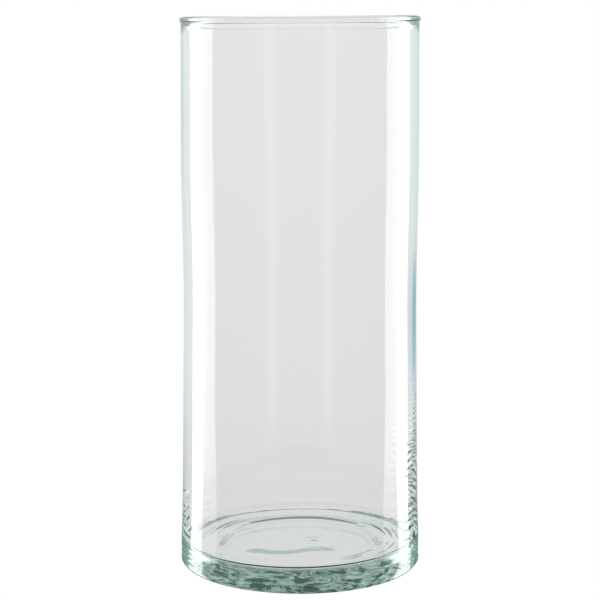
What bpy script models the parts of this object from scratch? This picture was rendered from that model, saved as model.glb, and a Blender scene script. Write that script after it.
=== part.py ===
"""A tall cylinder vase in one piece of clear, faintly green glass.

The vase stands on z = 0 with its axis on +Z. It is turned from one closed half-section: the inner
floor, the fillet into the bore, the fire-polished rim, the slightly waisted outside, the heel, the
flat standing ring and the shallow recess under the base. All sizes are in metres.
"""

import math

import bmesh
import bpy

# Driving dimensions
HEIGHT = 0.300
BASE_RADIUS = 0.0661            # widest, just above the heel
WALL = 0.0042                   # glass thickness of the side
FLOOR_HEIGHT = 0.0123           # inner floor above the standing plane
INNER_FILLET = 0.0038           # between the inner floor and the bore
HEEL_RADIUS = 0.0033            # outside round at the foot
RIM_PROUD = 0.0007              # how far the rim bead stands out of the neck
RIM_BEAD_HEIGHT = 0.0036        # full height of the bead
RIM_BEAD_UNDERCUT = 40.0        # degrees that the bead's section runs on below its widest point
RING_WIDTH = 0.0175             # flat ring that the vase stands on
RECESS_DEPTH = 0.0010           # the middle of the underside clears the table by this
RECESS_SLOPE = 0.0045           # width of the slope from the ring up to the recess
RIM_FOOT_SHARE = 1.1            # the plain wall ends this many bead heights below the top

# How far the outside lies within the base radius, at fractions of the height: nearly parallel
# sides with a slight waist, and a foot that spreads a little.
OUTSIDE_INSETS = (
    (0.02, 0.0000),
    (0.09, 0.0007),
    (0.20, 0.0014),
    (0.35, 0.0020),
    (0.52, 0.0026),
    (0.72, 0.0019),
    (0.88, 0.0021),
    (0.98, 0.0023),
)

# Fineness of the mesh
TURN_STEPS = 88
WALL_STEPS = 11
FILLET_STEPS = 5
HEEL_STEPS = 4
RIM_STEPS = 10
FLOOR_MID_RADIUS = 0.020        # a ring of points that keeps the floor's middle triangles compact
SHARP_ANGLE = math.radians(30.0)

GLASS_COLOUR = (0.80, 0.90, 0.87, 1.0)
GLASS_ROUGHNESS = 0.02


def clear_scene():
    for item in list(bpy.data.objects):
        bpy.data.objects.remove(item, do_unlink=True)


def outside_radius(height):
    """Outside radius at a height, on a smooth curve through the stations."""
    heights = [share * HEIGHT for share, inset in OUTSIDE_INSETS]
    radii = [BASE_RADIUS - inset for share, inset in OUTSIDE_INSETS]
    if height <= heights[0]:
        return radii[0]
    slopes = [0.0]
    for index in range(1, len(radii) - 1):
        rise = heights[index + 1] - heights[index - 1]
        slopes.append((radii[index + 1] - radii[index - 1]) / rise)
    slopes.append(0.0)
    for index in range(len(radii) - 1):
        if height <= heights[index + 1]:
            break
    span = heights[index + 1] - heights[index]
    share = min((height - heights[index]) / span, 1.0)
    start = (1.0 + 2.0 * share) * (1.0 - share) ** 2 * radii[index]
    end = share**2 * (3.0 - 2.0 * share) * radii[index + 1]
    leaving = share * (1.0 - share) ** 2 * span * slopes[index]
    arriving = share**2 * (share - 1.0) * span * slopes[index + 1]
    return start + end + leaving + arriving


def arc(centre_r, centre_z, radius_r, radius_z, start, end, steps):
    """Points of an elliptic arc in the half-section, angles in degrees from +r towards +z."""
    points = []
    for step in range(steps + 1):
        angle = math.radians(start + (end - start) * step / steps)
        points.append((centre_r + radius_r * math.cos(angle), centre_z + radius_z * math.sin(angle)))
    return points


def wall_line(low, high, inset, steps):
    """Points up the wall from low to high, a constant distance inside the outer surface."""
    points = []
    for step in range(steps + 1):
        height = low + (high - low) * step / steps
        points.append((outside_radius(height) - inset, height))
    return points


def half_section():
    """The closed outline from the middle of the inner floor, over the rim, to the middle below."""
    bore_foot = FLOOR_HEIGHT + INNER_FILLET
    bore_radius = outside_radius(bore_foot) - WALL
    rim_middle = HEIGHT - RIM_BEAD_HEIGHT / 2.0
    rim_foot = HEIGHT - RIM_BEAD_HEIGHT * RIM_FOOT_SHARE
    neck_radius = outside_radius(rim_foot)
    heel_top = outside_radius(HEEL_RADIUS)
    ring_outer = heel_top - HEEL_RADIUS
    ring_inner = ring_outer - RING_WIDTH
    recess_radius = ring_inner - RECESS_SLOPE

    floor = [(0.0, FLOOR_HEIGHT), (FLOOR_MID_RADIUS, FLOOR_HEIGHT)]
    fillet = arc(
        bore_radius - INNER_FILLET, bore_foot, INNER_FILLET, INNER_FILLET, -90.0, 0.0, FILLET_STEPS
    )
    bore = wall_line(bore_foot, rim_foot, WALL, WALL_STEPS)
    rim = arc(
        neck_radius - WALL / 2.0,
        rim_middle,
        WALL / 2.0 + RIM_PROUD,
        RIM_BEAD_HEIGHT / 2.0,
        180.0 + RIM_BEAD_UNDERCUT,
        -RIM_BEAD_UNDERCUT,
        RIM_STEPS,
    )
    outside = wall_line(HEEL_RADIUS, rim_foot, 0.0, WALL_STEPS)[::-1]
    heel = arc(ring_outer, HEEL_RADIUS, HEEL_RADIUS, HEEL_RADIUS, 0.0, -90.0, HEEL_STEPS)
    recess = [(ring_inner, 0.0), (recess_radius, RECESS_DEPTH), (0.0, RECESS_DEPTH)]
    return floor + fillet + bore[1:] + rim + outside + heel[1:] + recess


def turned_mesh(name, outline):
    """A closed mesh made by turning the outline, which starts and ends on the axis, round +Z."""
    mesh = bpy.data.meshes.new(name)
    shape = bmesh.new()
    points = [shape.verts.new((radius, 0.0, height)) for radius, height in outline]
    edges = [shape.edges.new(pair) for pair in zip(points, points[1:])]
    bmesh.ops.spin(
        shape,
        geom=points + edges,
        cent=(0.0, 0.0, 0.0),
        axis=(0.0, 0.0, 1.0),
        angle=math.tau,
        steps=TURN_STEPS,
        use_merge=True,
    )
    bmesh.ops.remove_doubles(shape, verts=shape.verts, dist=1e-6)
    bmesh.ops.recalc_face_normals(shape, faces=shape.faces)
    shape.to_mesh(mesh)
    shape.free()
    mesh.shade_smooth()
    mesh.set_sharp_from_angle(angle=SHARP_ANGLE)
    return mesh


def glass():
    material = bpy.data.materials.new("glass")
    material.use_nodes = True
    shader = material.node_tree.nodes["Principled BSDF"]
    shader.inputs["Base Color"].default_value = GLASS_COLOUR
    shader.inputs["Roughness"].default_value = GLASS_ROUGHNESS
    shader.inputs["Metallic"].default_value = 0.0
    shader.inputs["Transmission Weight"].default_value = 1.0
    return material


def vase_body():
    """The whole vase: side, base and rim are one piece of glass."""
    body = bpy.data.objects.new("vase_body", turned_mesh("vase_body", half_section()))
    body.data.materials.append(glass())
    bpy.context.scene.collection.objects.link(body)
    return body


clear_scene()
vase_body()
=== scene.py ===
"""Looks of a tall cylinder vase in clear, faintly green, hand-worked glass.

The vase is one piece of glass. Its visual mesh is turned finely from the CAD's own section and then
given what hand-worked glass has: a slightly uneven bore and outside, chill ripples low on the sides,
a floor and an underside that aren't quite flat, and a rim that a flame has rounded.
"""

import math

import bpy
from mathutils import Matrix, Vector, noise


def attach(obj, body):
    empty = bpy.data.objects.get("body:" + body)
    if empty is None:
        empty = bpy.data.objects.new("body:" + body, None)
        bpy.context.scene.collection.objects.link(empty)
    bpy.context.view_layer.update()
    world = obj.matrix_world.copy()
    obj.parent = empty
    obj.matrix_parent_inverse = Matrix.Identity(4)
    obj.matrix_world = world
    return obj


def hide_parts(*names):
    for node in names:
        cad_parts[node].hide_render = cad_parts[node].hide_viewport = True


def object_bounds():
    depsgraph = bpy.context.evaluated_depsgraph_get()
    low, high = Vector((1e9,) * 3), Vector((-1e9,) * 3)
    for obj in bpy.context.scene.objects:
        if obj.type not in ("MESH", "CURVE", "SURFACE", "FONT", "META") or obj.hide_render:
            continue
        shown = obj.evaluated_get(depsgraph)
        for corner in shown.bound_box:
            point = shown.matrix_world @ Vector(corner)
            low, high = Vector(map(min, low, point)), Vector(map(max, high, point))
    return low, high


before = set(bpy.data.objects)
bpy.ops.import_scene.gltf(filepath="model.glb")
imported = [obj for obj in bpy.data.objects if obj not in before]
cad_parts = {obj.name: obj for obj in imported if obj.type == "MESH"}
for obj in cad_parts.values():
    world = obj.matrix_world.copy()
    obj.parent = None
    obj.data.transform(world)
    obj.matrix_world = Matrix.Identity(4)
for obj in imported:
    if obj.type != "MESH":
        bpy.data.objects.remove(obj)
cad_low, cad_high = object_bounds()

MM = 0.001

# The vase, from the frame: it stands on z = 0 with its axis on +Z, and the camera looks along +Y
HEIGHT = cad_high.z
BASE_RADIUS = cad_high.x
WALL = 4.2 * MM
FLOOR_HEIGHT = 12.3 * MM
INNER_FILLET = 3.8 * MM
HEEL_RADIUS = 3.3 * MM
RIM_PROUD = 0.7 * MM
RIM_BEAD_HEIGHT = 3.6 * MM
RIM_COVE = 0.5 * MM             # round where the bead meets the plain wall
RIM_UNDERCUT = 38.0             # degrees that the bead's section runs on below its widest point
RING_WIDTH = 17.5 * MM
RECESS_DEPTH = 1.0 * MM
RECESS_SLOPE = 4.5 * MM

# How far the outside lies within the base radius, at fractions of the height
OUTSIDE_INSETS = (
    (0.02, 0.0 * MM),
    (0.09, 0.7 * MM),
    (0.20, 1.4 * MM),
    (0.35, 2.0 * MM),
    (0.52, 2.6 * MM),
    (0.72, 1.9 * MM),
    (0.88, 2.1 * MM),
    (0.98, 2.3 * MM),
)

# Fineness of the visual mesh
TURN_STEPS = 192
FLOOR_STEPS = 64
FILLET_STEPS = 16
RIPPLED_STEPS = 170
PLAIN_BORE_STEPS = 30
RIM_STEPS = 26
FOOT_STEPS = 36
OUTSIDE_STEPS = 70
HEEL_STEPS = 10
UNDERSIDE_STEPS = 90

# Below, a pair of values is where something starts and where it is full, or where it starts to fade
# and where it is gone. Pairs for the sides are shares of the way out from the axis to +X or -X.

# The rim
BEAD_DRAW = 0.05                # the bead is this share taller at -Y, and less tall at +Y
BEAD_DRAW_FADE = (6.0 * MM, 20.0 * MM)          # below the top
RIM_LEAN = 0.75 * MM            # the rim is this much lower at -X than at +X
RIM_LEAN_RISE = (0.6 * HEIGHT, HEIGHT)

# The inner floor
FLOOR_LEAN = 0.0125             # it rises towards +X by this slope
FLOOR_LEAN_FADE = (20.0 * MM, 60.0 * MM)        # the bore leans with it up to these heights
FLOOR_STEP = 0.3 * MM           # it is a little higher outside this ring
FLOOR_STEP_RADII = (38.5 * MM, 43.0 * MM)
SWIRL = (8.0 * MM, -4.0 * MM)   # where the gather was turned in: a small whorl
SWIRL_RADIUS = 9.0 * MM
SWIRL_DEPTH = 0.10 * MM
SWIRL_WAVES = 8.0               # radians of its waves in one radius
LAP_PITCH = 3.4 * MM
LAP_DEPTH = 0.28 * MM
LAP_START = (43.0 * MM, 48.0 * MM)
LAP_FADE = (54.0 * MM, 58.0 * MM)
LAP_RIGHT = (0.25, 0.75)
LAP_LEFT = (0.5, 0.9)
LAP_LEFT_SHARE = 0.4            # of the depth that they have at the right

# Noise that is read on a circle, so that it closes round the glass: the circle's radius, the share of
# the height that it climbs, the size of its bumps and a seed
BORE_NOISE = (50.0 * MM, 0.35, 30.0 * MM, 2.0)
RIPPLE_NOISE = (60.0 * MM, 1.0, 16.0 * MM, 5.0)
OUTSIDE_NOISE = (50.0 * MM, 0.3, 35.0 * MM, 7.0)

# The bore and its chill ripples, which are wide low down and narrow higher up
OUT_OF_ROUND = 0.16 * MM
RIPPLED_SIDES = (0.82, 0.97)
RIPPLE_START = (FLOOR_HEIGHT, 1.6 * FLOOR_HEIGHT)
RIPPLE_TOP = 112.0 * MM         # they die out at this height at +X
RIPPLE_TOP_LEFT = 0.52          # and at this share of it at -X
RIPPLE_FADE_START = 0.5         # they fade from this share of their top
RIPPLE_PITCH_LOW = 7.0 * MM
RIPPLE_NARROWING = 0.044        # metres that their pitch falls by in a metre of height
RIPPLE_SLANT_PITCH = 18.0 * MM  # from one ripple to the next along Y
RIPPLE_SHARE = 0.10             # depth as a share of their pitch, at +X
RIPPLE_SHARE_LEFT = 0.5         # of that depth at -X
RIPPLE_SWAY = 1.3               # turns that the noise moves them by
RIPPLE_EVEN = 0.7               # the part of their depth that is there everywhere
RIPPLE_UNEVEN = 0.6             # the part that comes and goes

# The outside and the foot, which is rougher
OUTSIDE_WAVE = 0.09 * MM
OUTSIDE_WAVE_START = (0.0, 50.0 * MM)
FOOT_TOP = 16.0 * MM
FOOT_FADE = (0.5 * FOOT_TOP, FOOT_TOP)
FOOT_START = (0.0, 2.0 * MM)
FOOT_WAVE = 0.3 * MM
FOOT_NOISE = (9.0 * MM, 11.0)   # size of its bumps and a seed
FOOT_FLATNESS = 1.6             # its bumps are this many times as wide as they are tall
FOOT_RIPPLE = 0.20 * MM
FOOT_RIPPLE_PITCH = 2.75 * MM

# The underside
UNDERSIDE_WAVE = 0.08 * MM
UNDERSIDE_NOISE = (12.0 * MM, 4.0)
UNDERSIDE_START = (6.0 * MM, 12.0 * MM)         # in from the base radius
CREASE_DEPTH = 0.55 * MM        # a shear mark across it
CREASE_WIDTH = 5.0 * MM
CREASE_Y = -20.0 * MM
CREASE_SLANT = 0.06
CREASE_SWAY = 2.2 * MM
CREASE_SWAY_LENGTH = 6.0 * MM   # along X for each radian of its sway
CREASE_START = (-34.0 * MM, -20.0 * MM)
CREASE_FADE = (12.0 * MM, 24.0 * MM)

# The glass
GLASS_IOR = 1.52
DEPTH_COLOUR = (0.30, 0.60, 0.50)
DEPTH_DENSITY = 10.0
STREAK_SCALE = 38.0
STREAK_TINT = (0.996, 0.999, 0.998)
STREAK_HAZE = 0.02
# Painted shade: dark blotches in the skin of the foot, low down and mostly on the -Y side, towards the
# camera
PAINTED_SHADE_TINT = (0.02, 0.05, 0.045)
PAINTED_SHADE_SCALE = 80.0
PAINTED_SHADE_FLATNESS = (1.0, 1.0, 3.0)
PAINTED_SHADE_OFFSET = (0.3, 0.3, 0.7)   # of the noise, chosen for its look
PAINTED_SHADE_EDGE = (0.38, 0.57)        # of the noise's values
PAINTED_SHADE_TOP = (12.5 * MM, 15.5 * MM)
PAINTED_SHADE_SKIN = (BASE_RADIUS - 2.6 * MM, BASE_RADIUS - 1.8 * MM)
PAINTED_SHADE_FRONT = (-45.0 * MM, -37.0 * MM)
PAINTED_SHADE_BACK_SHARE = 0.12

# Camera: level with the rim, a metre away, tilted down to the middle of the vase
CAMERA_DISTANCE = 0.9873
CAMERA_HEIGHT = 0.3024
CAMERA_PITCH = 8.99
CAMERA_LENS = 109.72
SENSOR_WIDTH = 36.0

# The white floor
FLOOR_HALF = 4.0
FLOOR_GAP = 0.5 * MM            # below the vase, so that the two faces don't meet

# Brightness of the studio round the glass, from straight below (0) to straight above (1)
STUDIO_LEVELS = ((0.0, 0.85), (0.20, 0.75), (0.325, 0.68), (0.40, 0.77), (0.50, 0.82), (1.0, 0.85))
STUDIO_RED = 1.005              # its grey is a little warm
LOW_WARMTH = 0.025              # and warmer low down
LOW_WARMTH_FADE = (0.40, 0.52)
LOW_WARMTH_BLUE = 0.2           # the share of that warmth that blue loses

# What early rays see of the studio, as colours and as ranges of their direction's X, Y and Z. A ray
# is early while it has gone through one wall of the glass at most.
EARLY_DEPTH = (3.0, 3.5)        # its transmission depth
TABLE_LEVEL = (1.1, 1.1, 1.1)   # a white table
TABLE_Z = (-0.30, -0.38)
EDGE_COLOUR = (0.05, 0.042, 0.035)              # the dark past the table's near edge
EDGE_Y = (0.80, 0.60)
EDGE_Z = (-0.50, -0.62)
CARD_X = (0.52, 0.68)           # two bright cards at each side, behind the vase
CARD_Y = (0.35, 0.50)
CARDS = (
    ((3.5, 3.5, 3.5), (0.08, 0.20), (0.34, 0.44)),
    ((1.05, 1.05, 1.05), (-0.22, -0.32), (-0.45, -0.55)),
)
GAP_COLOUR = (0.28, 0.47, 0.55)                 # a cool gap low behind the vase, at the right
GAP_X = ((0.16, 0.22), (0.36, 0.48))
GAP_Y = (0.3, 0.5)
GAP_Z = ((-0.200, -0.180), (-0.150, -0.130))

# The panels stand on a circle round the vase. Azimuths are in degrees from the camera's side, and
# heights in metres.
PANEL_RADIUS = 1.0
PANEL_LOW = -0.8
PANEL_HIGH = 1.2
ACROSS_STEPS = 100
UP_STEPS = 80

# Softboxes: an inner half, a brighter outer half and a dim, tinted far edge
SOFTBOX_AZIMUTHS = (80.0, 174.0)
INNER_LEVEL = 3.0
INNER_HEIGHTS = (-0.27, -0.12)
INNER_AZIMUTH = 88.5
INNER_BLUR = 0.8
INNER_SPREAD = 4.5              # it is this much wider near the table
INNER_SPREAD_FADE = (-0.25, -0.08)
OUTER_LEVEL = 5.0
OUTER_AZIMUTHS = (104.0, 107.5)
FAR_LEVEL = 1.15
FAR_TINT = (0.68, 0.93, 0.98)
FAR_AZIMUTHS = (125.5, 128.5)
FAR_DROP = 0.3                  # it gets darker by this much as it goes round
FAR_DROP_AZIMUTHS = (130.0, 150.0)
FAR_LOW_SHARE = 0.5             # of its light, taken away near the table
FAR_LOW_FADE = (-0.26, -0.05)
FAR_DIP = 0.45                  # on the right it has a darker stretch
FAR_DIP_HEIGHT = -0.02
FAR_DIP_SPREAD = 0.06
LEFT_TINT_SHARE = 0.45          # on the left it has less of its tint, except near the table
LEFT_TINT_FADE = (-0.26, -0.16)

# Strips beside the camera
STRIP_AZIMUTHS = (16.0, 46.0)
STRIP_LEVEL = 0.8
STRIP_HEIGHTS = (-0.15, -0.06)
STRIP_MIDDLE = 25.2
STRIP_HALF_WIDTH = (2.0, 7.5)
STRIP_BOW = 12.0                # degrees outwards per metre away from height 0
STRIP_BOW_ROUND = 0.03

LIGHT_BOUNCES = 96


def smooth_step(value, low, high):
    """0 below low, 1 above high, and a smooth rise between them."""
    share = min(max((value - low) / (high - low), 0.0), 1.0)
    return share * share * (3.0 - 2.0 * share)


def smooth_fall(value, low, high):
    """1 below low, 0 above high, and a smooth fall between them."""
    return 1.0 - smooth_step(value, low, high)


def outside_radius(height):
    """Outside radius at a height, on a smooth curve through the stations."""
    heights = [share * HEIGHT for share, inset in OUTSIDE_INSETS]
    radii = [BASE_RADIUS - inset for share, inset in OUTSIDE_INSETS]
    if height <= heights[0]:
        return radii[0]
    slopes = [0.0]
    for index in range(1, len(radii) - 1):
        rise = heights[index + 1] - heights[index - 1]
        slopes.append((radii[index + 1] - radii[index - 1]) / rise)
    slopes.append(0.0)
    for index in range(len(radii) - 1):
        if height <= heights[index + 1]:
            break
    span = heights[index + 1] - heights[index]
    share = min((height - heights[index]) / span, 1.0)
    start = (1.0 + 2.0 * share) * (1.0 - share) ** 2 * radii[index]
    end = share**2 * (3.0 - 2.0 * share) * radii[index + 1]
    leaving = share * (1.0 - share) ** 2 * span * slopes[index]
    arriving = share**2 * (share - 1.0) * span * slopes[index + 1]
    return start + end + leaving + arriving


def arc(centre_r, centre_z, radius_r, radius_z, start, end, steps):
    """Points of an elliptic arc in the half-section, angles in degrees from +r towards +z."""
    points = []
    for step in range(steps + 1):
        angle = math.radians(start + (end - start) * step / steps)
        points.append((centre_r + radius_r * math.cos(angle), centre_z + radius_z * math.sin(angle)))
    return points


def wall_line(low, high, inset, steps):
    """Points up the wall from low to high, a constant distance inside the outer surface."""
    points = []
    for step in range(steps + 1):
        height = low + (high - low) * step / steps
        points.append((outside_radius(height) - inset, height))
    return points


def underside_line(ring_outer, steps):
    """From the outer edge of the standing ring to the middle of the recess."""
    ring_inner = ring_outer - RING_WIDTH
    points = []
    for step in range(1, steps + 1):
        radius = ring_outer * (1.0 - step / steps)
        rise = smooth_step(ring_inner - radius, 0.0, RECESS_SLOPE)
        points.append((radius, RECESS_DEPTH * rise))
    return points


def half_section():
    """The outline as (surface, radius, height), from the middle of the floor to the middle below."""
    bore_foot = FLOOR_HEIGHT + INNER_FILLET
    bore_radius = outside_radius(bore_foot) - WALL
    rim_middle = HEIGHT - RIM_BEAD_HEIGHT / 2.0
    rim_foot = HEIGHT - RIM_BEAD_HEIGHT - RIM_COVE
    neck_radius = outside_radius(rim_foot)
    ring_outer = outside_radius(HEEL_RADIUS) - HEEL_RADIUS
    flat_radius = bore_radius - INNER_FILLET

    floor = [(flat_radius * step / FLOOR_STEPS, FLOOR_HEIGHT) for step in range(FLOOR_STEPS)]
    fillet = arc(flat_radius, bore_foot, INNER_FILLET, INNER_FILLET, -90.0, 0.0, FILLET_STEPS)
    rippled = wall_line(bore_foot, RIPPLE_TOP, WALL, RIPPLED_STEPS)[1:]
    plain = wall_line(RIPPLE_TOP, rim_foot, WALL, PLAIN_BORE_STEPS)[1:]
    rim = arc(
        neck_radius - WALL / 2.0,
        rim_middle,
        WALL / 2.0 + RIM_PROUD,
        RIM_BEAD_HEIGHT / 2.0,
        180.0 + RIM_UNDERCUT,
        -RIM_UNDERCUT,
        RIM_STEPS,
    )
    outside = wall_line(FOOT_TOP, rim_foot, 0.0, OUTSIDE_STEPS)[::-1]
    foot = wall_line(HEEL_RADIUS, FOOT_TOP, 0.0, FOOT_STEPS)[::-1][1:]
    heel = arc(ring_outer, HEEL_RADIUS, HEEL_RADIUS, HEEL_RADIUS, 0.0, -90.0, HEEL_STEPS)[1:]
    underside = underside_line(ring_outer, UNDERSIDE_STEPS)
    parts = (
        ("floor", floor),
        ("fillet", fillet),
        ("bore", rippled + plain),
        ("rim", rim),
        ("outside", outside + foot),
        ("heel", heel),
        ("underside", underside),
    )
    return [(surface, radius, height) for surface, points in parts for radius, height in points]


def field(x, y, z, size, seed):
    """Smooth noise of about -1 to 1, with bumps of the given size in metres."""
    return noise.noise(Vector((x / size + seed, y / size - seed, z / size + 3.0 * seed)))


def field_round(x, y, height, setting):
    """Smooth noise read on a circle; x and y are the direction from the axis."""
    radius, climb, size, seed = setting
    return field(x * radius, y * radius, height * climb, size, seed)


def rippled_bore(height, x, y):
    """How far chill ripples and the slow out-of-round move the bore at a height."""
    slow = field_round(x, y, height, BORE_NOISE) * OUT_OF_ROUND
    right = 0.5 + 0.5 * x
    top = RIPPLE_TOP * (RIPPLE_TOP_LEFT + (1.0 - RIPPLE_TOP_LEFT) * right)
    depth = RIPPLE_SHARE * (RIPPLE_SHARE_LEFT + (1.0 - RIPPLE_SHARE_LEFT) * right)
    depth *= smooth_step(height, *RIPPLE_START) * smooth_fall(height, RIPPLE_FADE_START * top, top)
    depth *= smooth_step(abs(x), *RIPPLED_SIDES)
    swing = field_round(x, y, height, RIPPLE_NOISE)
    pitch = RIPPLE_PITCH_LOW - RIPPLE_NARROWING * min(height, RIPPLE_TOP)
    turns = -math.log(pitch / RIPPLE_PITCH_LOW) / RIPPLE_NARROWING
    turns += y * BASE_RADIUS / RIPPLE_SLANT_PITCH + RIPPLE_SWAY * swing
    return slow + math.sin(math.tau * turns) * pitch * depth * (RIPPLE_EVEN + RIPPLE_UNEVEN * swing)


def crease(x, y):
    """Height of the shear mark in the underside at a point."""
    line = CREASE_Y + CREASE_SWAY * math.sin(x / CREASE_SWAY_LENGTH) + CREASE_SLANT * x
    ends = smooth_step(x, *CREASE_START) * smooth_fall(x, *CREASE_FADE)
    return CREASE_DEPTH * ends * math.exp(-(((y - line) / CREASE_WIDTH) ** 2))


def laps(radius, x):
    """Laps of glass round the edge of the inner floor, deepest towards +X."""
    depth = LAP_DEPTH * smooth_step(radius, *LAP_START) * smooth_fall(radius, *LAP_FADE)
    depth *= smooth_step(x, *LAP_RIGHT) + LAP_LEFT_SHARE * smooth_step(-x, *LAP_LEFT)
    return depth * math.sin(math.tau * radius / LAP_PITCH)


def whorl(x, y):
    """Height of the small whorl in the inner floor at a point."""
    away = math.hypot(x - SWIRL[0], y - SWIRL[1]) / SWIRL_RADIUS
    return SWIRL_DEPTH * math.cos(SWIRL_WAVES * away) * math.exp(-(away**2))


def bead_drawn(height, y):
    """The rim bead is drawn out further down on the -Y side."""
    below = HEIGHT - height
    return HEIGHT - below * (1.0 - BEAD_DRAW * y * smooth_fall(below, *BEAD_DRAW_FADE))


def uneven_floor(radius, height, x, y):
    """Height of a point of the inner floor; x and y are the direction from the axis."""
    rise = whorl(x * radius, y * radius) + laps(radius, x)
    return height + rise + FLOOR_STEP * smooth_step(radius, *FLOOR_STEP_RADII) + FLOOR_LEAN * x * radius


def uneven_bore(radius, height, x, y):
    """(radius, height) of a point of the bore or of its fillet, which keeps to the floor's edge."""
    share = smooth_step(height, FLOOR_HEIGHT, FLOOR_HEIGHT + INNER_FILLET)
    rise = smooth_fall(height, *FLOOR_LEAN_FADE) * FLOOR_LEAN * x * radius + FLOOR_STEP * (1.0 - share)
    return radius + share * rippled_bore(height, x, y), height + rise


def uneven_underside(radius, height, x, y):
    """Height of a point of the underside. Its noise goes mostly upwards, and never below the table."""
    inside = smooth_step(BASE_RADIUS - radius, *UNDERSIDE_START)
    rough = (field(x * radius, y * radius, 0.0, *UNDERSIDE_NOISE) + 0.5) * UNDERSIDE_WAVE * inside
    return max(height + rough + crease(x * radius, y * radius), 0.0)


def uneven_outside(radius, height, x, y):
    """Radius of a point of the outside. Its noise goes mostly inwards, to stay inside the CAD's box."""
    slow = (field_round(x, y, height, OUTSIDE_NOISE) - 1.0) * OUTSIDE_WAVE
    foot = (field(x * radius, y * radius, height * FOOT_FLATNESS, *FOOT_NOISE) - 0.5) * FOOT_WAVE
    ripple = (math.sin(math.tau * height / FOOT_RIPPLE_PITCH) - 1.0) * FOOT_RIPPLE
    foot += ripple * smooth_step(abs(x), *RIPPLED_SIDES)
    foot *= smooth_fall(height, *FOOT_FADE) * smooth_step(height, *FOOT_START)
    return radius + slow * smooth_step(height, *OUTSIDE_WAVE_START) + foot


def uneven(surface, radius, height, angle):
    """(radius, height) of a point once the glass's unevenness is added."""
    x, y = math.cos(angle), math.sin(angle)
    height = bead_drawn(height, y)
    lean = RIM_LEAN * 0.5 * (1.0 - x) * smooth_step(height, *RIM_LEAN_RISE)
    if surface in ("bore", "fillet"):
        radius, height = uneven_bore(radius, height, x, y)
    elif surface == "floor":
        height = uneven_floor(radius, height, x, y)
    elif surface == "underside":
        height = uneven_underside(radius, height, x, y)
    elif surface == "outside":
        radius = uneven_outside(radius, height, x, y)
    return radius, height - lean


def turned_point(surface, radius, height, angle):
    """A point of the section turned to an angle round the axis."""
    radius, height = uneven(surface, radius, height, angle)
    return radius * math.cos(angle), radius * math.sin(angle), height


def vase_mesh():
    """The section turned round the axis into one closed mesh, with a point at each middle."""
    first, *rings, last = half_section()
    points = [turned_point(*first, 0.0)]
    for ring in rings:
        points += [turned_point(*ring, math.tau * turn / TURN_STEPS) for turn in range(TURN_STEPS)]
    points.append(turned_point(*last, 0.0))
    end = len(points) - 1
    faces = []
    for turn in range(TURN_STEPS):
        after = (turn + 1) % TURN_STEPS
        faces.append((0, 1 + turn, 1 + after))
        for ring in range(len(rings) - 1):
            low = 1 + ring * TURN_STEPS
            high = low + TURN_STEPS
            faces.append((low + turn, high + turn, high + after, low + after))
        low = end - TURN_STEPS
        faces.append((low + turn, end, low + after))
    mesh = bpy.data.meshes.new("glass_vase")
    mesh.from_pydata(points, [], faces)
    mesh.validate()
    mesh.update()
    mesh.shade_smooth()
    return mesh


def link(tree, output, target):
    """Join two sockets of a node tree."""
    tree.links.new(output, target)


def map_range(tree, value, low, high, to_low, to_high):
    """A value from low to high, turned into one from to_low to to_high and held between them."""
    node = tree.nodes.new("ShaderNodeMapRange")
    node.inputs["From Min"].default_value = low
    node.inputs["From Max"].default_value = high
    node.inputs["To Min"].default_value = to_low
    node.inputs["To Max"].default_value = to_high
    link(tree, value, node.inputs["Value"])
    return node.outputs["Result"]


def product(tree, first, *others):
    """Values multiplied together."""
    result = first
    for other in others:
        node = tree.nodes.new("ShaderNodeMath")
        node.operation = "MULTIPLY"
        link(tree, result, node.inputs[0])
        link(tree, other, node.inputs[1])
        result = node.outputs["Value"]
    return result


def within(tree, value, start, fade=None):
    """0 to 1: a share that rises over the start pair and, where there is one, falls over the fade pair."""
    share = map_range(tree, value, *start, 0.0, 1.0)
    if fade:
        share = product(tree, share, map_range(tree, value, *fade, 1.0, 0.0))
    return share


def mixed_colour(tree, share, low, high):
    """The colour low where the share is 0 and high where it is 1; each is a colour or a socket."""
    node = tree.nodes.new("ShaderNodeMix")
    node.data_type = "RGBA"
    for socket, colour in ((node.inputs[6], low), (node.inputs[7], high)):
        if isinstance(colour, tuple):
            socket.default_value = (*colour, 1.0)
        else:
            link(tree, colour, socket)
    link(tree, share, node.inputs[0])
    return node.outputs[2]


def mottling(tree, place, scale, roughness=0.5, distortion=0.0):
    """Noise from 0 to 1, with finer detail in it."""
    node = tree.nodes.new("ShaderNodeTexNoise")
    node.inputs["Scale"].default_value = scale
    node.inputs["Detail"].default_value = 3.0
    node.inputs["Roughness"].default_value = roughness
    node.inputs["Distortion"].default_value = distortion
    link(tree, place, node.inputs["Vector"])
    return node.outputs["Fac"]


def from_axis(tree, place):
    """Distance of a place from the vase's axis."""
    flat = tree.nodes.new("ShaderNodeVectorMath")
    flat.operation = "MULTIPLY"
    flat.inputs[1].default_value = (1.0, 1.0, 0.0)
    link(tree, place, flat.inputs[0])
    away = tree.nodes.new("ShaderNodeVectorMath")
    away.operation = "LENGTH"
    link(tree, flat.outputs["Vector"], away.inputs[0])
    return away.outputs["Value"]


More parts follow.
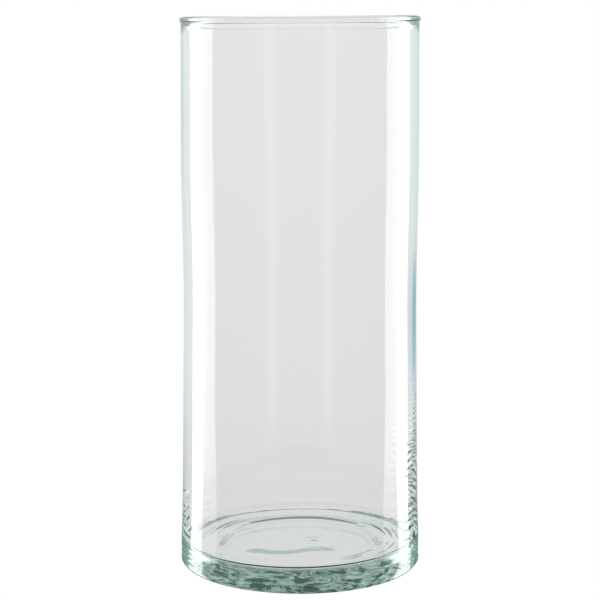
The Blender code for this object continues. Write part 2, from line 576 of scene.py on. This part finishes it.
def painted_foot_shade(tree, place):
    """0 to 1: painted shade, dark blotches in the skin of the foot, drawn out round it and strongest on
    the -Y side, which faces the camera.
    """
    stretch = tree.nodes.new("ShaderNodeMapping")
    stretch.inputs["Scale"].default_value = PAINTED_SHADE_FLATNESS
    stretch.inputs["Location"].default_value = PAINTED_SHADE_OFFSET
    link(tree, place, stretch.inputs["Vector"])
    shade_blots = mottling(tree, stretch.outputs["Vector"], PAINTED_SHADE_SCALE, roughness=0.55, distortion=2.0)
    split = tree.nodes.new("ShaderNodeSeparateXYZ")
    link(tree, place, split.inputs["Vector"])
    low = map_range(tree, split.outputs["Z"], *PAINTED_SHADE_TOP, 1.0, 0.0)
    skin = within(tree, from_axis(tree, place), PAINTED_SHADE_SKIN)
    dark = within(tree, shade_blots, PAINTED_SHADE_EDGE)
    front = map_range(tree, split.outputs["Y"], *PAINTED_SHADE_FRONT, 1.0, PAINTED_SHADE_BACK_SHARE)
    return product(tree, low, skin, dark, front)


def green_glass():
    """Clear soda-lime glass: green through its depth, bright on its fire-polished skin."""
    material = bpy.data.materials.new("green_glass")
    material.use_nodes = True
    tree = material.node_tree
    nodes = tree.nodes
    shader = nodes["Principled BSDF"]
    shader.inputs["Transmission Weight"].default_value = 1.0
    shader.inputs["IOR"].default_value = GLASS_IOR
    place = nodes.new("ShaderNodeTexCoord").outputs["Object"]

    streaks = mottling(tree, place, STREAK_SCALE)
    plain = mixed_colour(tree, streaks, STREAK_TINT, (1.0, 1.0, 1.0))
    # Painted shade: the foot's dark blotches darken the base colour that tints light going through the
    # glass
    tint = mixed_colour(tree, painted_foot_shade(tree, place), plain, PAINTED_SHADE_TINT)
    link(tree, tint, shader.inputs["Base Color"])
    haze = map_range(tree, streaks, 0.0, 1.0, 0.0, STREAK_HAZE)
    link(tree, haze, shader.inputs["Roughness"])

    depth = nodes.new("ShaderNodeVolumeAbsorption")
    depth.inputs["Color"].default_value = (*DEPTH_COLOUR, 1.0)
    depth.inputs["Density"].default_value = DEPTH_DENSITY
    link(tree, depth.outputs["Volume"], nodes["Material Output"].inputs["Volume"])
    return material


def make_vase():
    """The vase's one piece, which stands for the CAD's one node."""
    vase = bpy.data.objects.new("glass_vase", vase_mesh())
    bpy.context.scene.collection.objects.link(vase)
    vase.data.materials.append(green_glass())
    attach(vase, "root")
    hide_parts("vase_body")
    return vase


def emission_material(name, attribute=None):
    """White light, or light of the colour that the mesh's attribute holds where one is named."""
    material = bpy.data.materials.new(name)
    material.use_nodes = True
    tree = material.node_tree
    tree.nodes.remove(tree.nodes["Principled BSDF"])
    glow = tree.nodes.new("ShaderNodeEmission")
    glow.inputs["Strength"].default_value = 1.0
    if attribute:
        colour = tree.nodes.new("ShaderNodeAttribute")
        colour.attribute_name = attribute
        link(tree, colour.outputs["Color"], glow.inputs["Color"])
    link(tree, glow.outputs["Emission"], tree.nodes["Material Output"].inputs["Surface"])
    return material


def make_floor():
    """A pale floor that only the camera sees; the glass sees the studio's soft surroundings."""
    corners = ((-1, -1), (1, -1), (1, 1), (-1, 1))
    points = [(x * FLOOR_HALF, y * FLOOR_HALF, 0.0) for x, y in corners]
    mesh = bpy.data.meshes.new("floor")
    mesh.from_pydata(points, [], [(0, 1, 2, 3)])
    floor = bpy.data.objects.new("floor", mesh)
    bpy.context.scene.collection.objects.link(floor)
    floor.location.z = -FLOOR_GAP
    mesh.materials.append(emission_material("floor_white"))
    floor.visible_glossy = False
    floor.visible_transmission = False
    floor.visible_diffuse = False
    floor.visible_shadow = False


def studio_level(height):
    """The studio's brightness in the direction of a point of the panels' circle."""
    share = 0.5 + 0.5 * height / math.hypot(height, PANEL_RADIUS)
    for (low, low_level), (high, high_level) in zip(STUDIO_LEVELS, STUDIO_LEVELS[1:]):
        if share <= high:
            break
    return low_level + (high_level - low_level) * (share - low) / (high - low)


def softbox_glow(side, azimuth, height):
    """An inner half that fades out low down, a brighter outer half and a dim, tinted far edge."""
    start = INNER_AZIMUTH - INNER_SPREAD * smooth_fall(height, *INNER_SPREAD_FADE)
    inner = INNER_LEVEL * smooth_step(azimuth, start - INNER_BLUR, start + INNER_BLUR)
    level = studio_level(height) + inner * smooth_step(height, *INNER_HEIGHTS)
    level += (OUTER_LEVEL - level) * smooth_step(azimuth, *OUTER_AZIMUTHS)
    far = FAR_LEVEL - FAR_DROP * smooth_step(azimuth, *FAR_DROP_AZIMUTHS)
    far *= 1.0 - FAR_LOW_SHARE * smooth_fall(height, *FAR_LOW_FADE)
    cool = 1.0
    if side > 0.0:
        far *= 1.0 - FAR_DIP * math.exp(-(((height - FAR_DIP_HEIGHT) / FAR_DIP_SPREAD) ** 2))
    else:
        cool = LEFT_TINT_SHARE + (1.0 - LEFT_TINT_SHARE) * smooth_fall(height, *LEFT_TINT_FADE)
    beyond = smooth_step(azimuth, *FAR_AZIMUTHS)
    return [level + (far * (1.0 - cool * (1.0 - tint)) - level) * beyond for tint in FAR_TINT]


def strip_glow(side, azimuth, height):
    """A narrow soft strip, slightly bowed, that ends above the table and is the same at both sides."""
    middle = STRIP_MIDDLE + STRIP_BOW * math.hypot(height, STRIP_BOW_ROUND)
    across = smooth_fall(abs(azimuth - middle), *STRIP_HALF_WIDTH)
    return [studio_level(height) + STRIP_LEVEL * across * smooth_step(height, *STRIP_HEIGHTS)] * 3


def curved_panel(name, side, azimuths, glow):
    """An upright softbox on the circle round the vase, at its right (1) or left (-1) side."""
    start, end = azimuths
    points = []
    colours = []
    for step in range(ACROSS_STEPS + 1):
        azimuth = start + (end - start) * step / ACROSS_STEPS
        x = side * PANEL_RADIUS * math.sin(math.radians(azimuth))
        y = -PANEL_RADIUS * math.cos(math.radians(azimuth))
        for level in range(UP_STEPS + 1):
            height = PANEL_LOW + (PANEL_HIGH - PANEL_LOW) * level / UP_STEPS
            points.append((x, y, height))
            colours += (*glow(side, azimuth, height), 1.0)
    faces = []
    for step in range(ACROSS_STEPS):
        for level in range(UP_STEPS):
            corner = step * (UP_STEPS + 1) + level
            faces.append((corner, corner + 1, corner + UP_STEPS + 2, corner + UP_STEPS + 1))
    mesh = bpy.data.meshes.new(name)
    mesh.from_pydata(points, [], faces)
    mesh.attributes.new("glow", "FLOAT_COLOR", "POINT").data.foreach_set("color", colours)
    panel = bpy.data.objects.new(name, mesh)
    bpy.context.scene.collection.objects.link(panel)
    mesh.materials.append(emission_material(name, "glow"))
    panel.visible_camera = False
    panel.visible_transmission = False
    panel.visible_diffuse = False
    panel.visible_shadow = False


def make_lights():
    """Softboxes at both sides behind the vase, and narrow strips beside the camera."""
    for side, name in ((1.0, "right"), (-1.0, "left")):
        curved_panel(f"softbox_{name}", side, SOFTBOX_AZIMUTHS, softbox_glow)
        curved_panel(f"strip_{name}", side, STRIP_AZIMUTHS, strip_glow)


def warm_grey(position, level):
    """The studio's grey, a little warmer low down."""
    warmth = LOW_WARMTH * smooth_fall(position, *LOW_WARMTH_FADE)
    return level * (STUDIO_RED + warmth), level, level * (1.0 - LOW_WARMTH_BLUE * warmth), 1.0


def studio_grey(tree, upwards):
    """The studio's plain surroundings by the Z of a direction."""
    ramp = tree.nodes.new("ShaderNodeValToRGB")
    link(tree, map_range(tree, upwards, -1.0, 1.0, 0.0, 1.0), ramp.inputs["Fac"])
    elements = ramp.color_ramp.elements
    for element, (position, level) in zip(elements, (STUDIO_LEVELS[0], STUDIO_LEVELS[-1])):
        element.position = position
        element.color = warm_grey(position, level)
    for position, level in STUDIO_LEVELS[1:-1]:
        elements.new(position).color = warm_grey(position, level)
    return ramp.outputs["Color"]


def studio_colour(tree, direction, early):
    """The studio with its table, cards and gap, which only early rays see."""
    split = tree.nodes.new("ShaderNodeSeparateXYZ")
    link(tree, direction, split.inputs["Vector"])
    x, y, z = (split.outputs[axis] for axis in "XYZ")
    sideways = tree.nodes.new("ShaderNodeMath")
    sideways.operation = "ABSOLUTE"
    link(tree, x, sideways.inputs[0])

    table = product(tree, early, within(tree, z, TABLE_Z))
    studio = mixed_colour(tree, table, studio_grey(tree, z), TABLE_LEVEL)
    edge = product(tree, within(tree, y, EDGE_Y), within(tree, z, EDGE_Z), early)
    studio = mixed_colour(tree, edge, studio, EDGE_COLOUR)
    beside = product(tree, within(tree, sideways.outputs["Value"], CARD_X), within(tree, y, CARD_Y), early)
    for level, start, fade in CARDS:
        card = product(tree, beside, within(tree, z, start, fade))
        studio = mixed_colour(tree, card, studio, level)
    gap = product(tree, within(tree, x, *GAP_X), within(tree, z, *GAP_Z), within(tree, y, GAP_Y), early)
    return mixed_colour(tree, gap, studio, GAP_COLOUR)


def make_world():
    """White for the camera; a soft grey studio, darker below, for what the glass bends and mirrors."""
    world = bpy.data.worlds.new("studio")
    bpy.context.scene.world = world
    world.use_nodes = True
    tree = world.node_tree
    background = tree.nodes["Background"]
    background.inputs["Strength"].default_value = 1.0
    path = tree.nodes.new("ShaderNodeLightPath")
    early = map_range(tree, path.outputs["Transmission Depth"], *EARLY_DEPTH, 1.0, 0.0)
    direction = tree.nodes.new("ShaderNodeTexCoord").outputs["Generated"]
    studio = studio_colour(tree, direction, early)
    seen = mixed_colour(tree, path.outputs["Is Camera Ray"], studio, (1.0, 1.0, 1.0))
    link(tree, seen, background.inputs["Color"])


def make_camera():
    """The photo's camera."""
    data = bpy.data.cameras.new("camera")
    data.sensor_width = SENSOR_WIDTH
    data.lens = CAMERA_LENS
    camera = bpy.data.objects.new("camera", data)
    bpy.context.scene.collection.objects.link(camera)
    camera.location = (0.0, -CAMERA_DISTANCE, CAMERA_HEIGHT)
    camera.rotation_euler = (math.radians(90.0 - CAMERA_PITCH), 0.0, 0.0)
    bpy.context.scene.camera = camera


def set_up_render():
    """Plain colours, and enough bounces for light that runs along inside the glass."""
    scene = bpy.context.scene
    scene.view_settings.view_transform = "Standard"
    scene.cycles.max_bounces = LIGHT_BOUNCES
    scene.cycles.transmission_bounces = LIGHT_BOUNCES
    scene.cycles.glossy_bounces = LIGHT_BOUNCES


make_camera()
make_vase()
make_floor()
make_lights()
make_world()
set_up_render()
